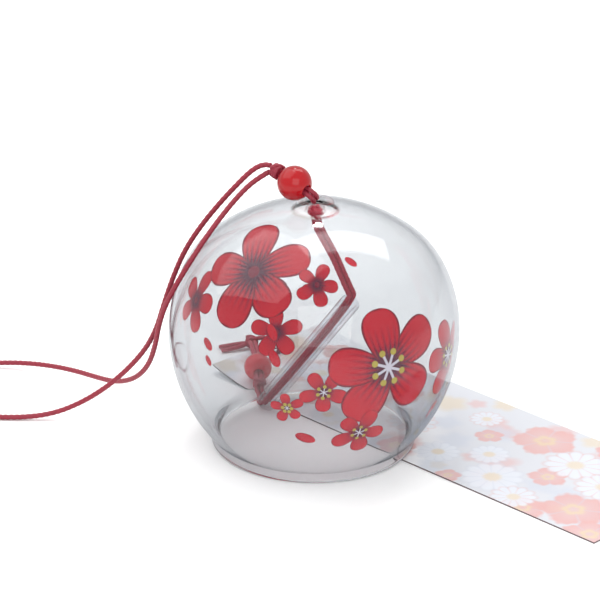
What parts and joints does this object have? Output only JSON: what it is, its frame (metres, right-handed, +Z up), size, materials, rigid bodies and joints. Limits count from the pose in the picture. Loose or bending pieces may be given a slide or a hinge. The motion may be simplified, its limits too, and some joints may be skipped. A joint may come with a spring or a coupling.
{
  "type": "wind bell",
  "caption": "Blown-glass wind bell painted with plum blossoms, with a red hanging cord, beads, an inner glass clapper tube and a printed paper wind strip.",
  "frame": {"origin": "middle of the footprint of everything but the free hanging cord, on the table", "axes": "+X along the paper strip to its free end, +Y across the strip away from the bell's front, +Z up"},
  "size_m": [0.2051, 0.1267, 0.0817],
  "materials": {
    "clear_glass": "clear blown glass with red blossoms painted on its inside",
    "tube_glass": "clear drawn glass tube",
    "red_cord": "twisted crimson cord",
    "red_bead": "glossy red ball beads",
    "strip_paper": "smooth white card with a pale printed floral pattern"
  },
  "bodies": {
    "globe": {"glass_globe": "clear_glass"},
    "hanger": {"hanging_loop": "red_cord", "loop_knot": "red_cord", "neck_cord": "red_cord"},
    "upper_bead": {"top_bead": "red_bead"},
    "clapper": {"stopper_knot": "red_cord", "clapper_cord": "red_cord"},
    "tube": {"clapper_tube": "tube_glass"},
    "tail": {"tail_cord": "red_cord", "tube_knot": "red_cord", "strip_knot": "red_cord", "strip_loop": "red_cord", "cord_ends": "red_cord"},
    "tail_bead": {"lower_bead": "red_bead"},
    "strip": {"paper_strip": "strip_paper"}
  },
  "joints": [
    {"name": "loop_turn", "type": "hinge", "parent": "globe", "child": "hanger", "pos_m": [-0.01273, -0.00992, 0.0722], "axis": [0, 0, 1], "range_deg": [-12, 12]},
    {"name": "top_bead_spin", "type": "hinge", "parent": "hanger", "child": "upper_bead", "pos_m": [-0.01663, -0.01394, 0.07695], "axis": [-0.9606, -0.0761, 0.2674], "continuous": true},
    {"name": "clapper_turn", "type": "hinge", "parent": "globe", "child": "clapper", "pos_m": [-0.01273, -0.00992, 0.069], "axis": [0, 0, 1], "range_deg": [-3, 8]},
    {"name": "tube_spin", "type": "hinge", "parent": "clapper", "child": "tube", "pos_m": [-0.0378, -0.00436, 0.0019], "axis": [0.6067, 0.0645, 0.7923], "continuous": true},
    {"name": "tail_swing", "type": "hinge", "parent": "globe", "child": "tail", "pos_m": [-0.0414, -0.00253, 0.0008], "axis": [0, 0, 1], "range_deg": [0, 10]},
    {"name": "bead_slide", "type": "slide", "parent": "tail", "child": "tail_bead", "axis": [-0.7649, 0.6329, 0.12], "range_m": [0, 0.0015]},
    {"name": "strip_turn", "type": "hinge", "parent": "tail", "child": "strip", "pos_m": [-0.06245, 0.02454, 0.0018], "axis": [0, 0, 1], "range_deg": [0, 6]}
  ]
}
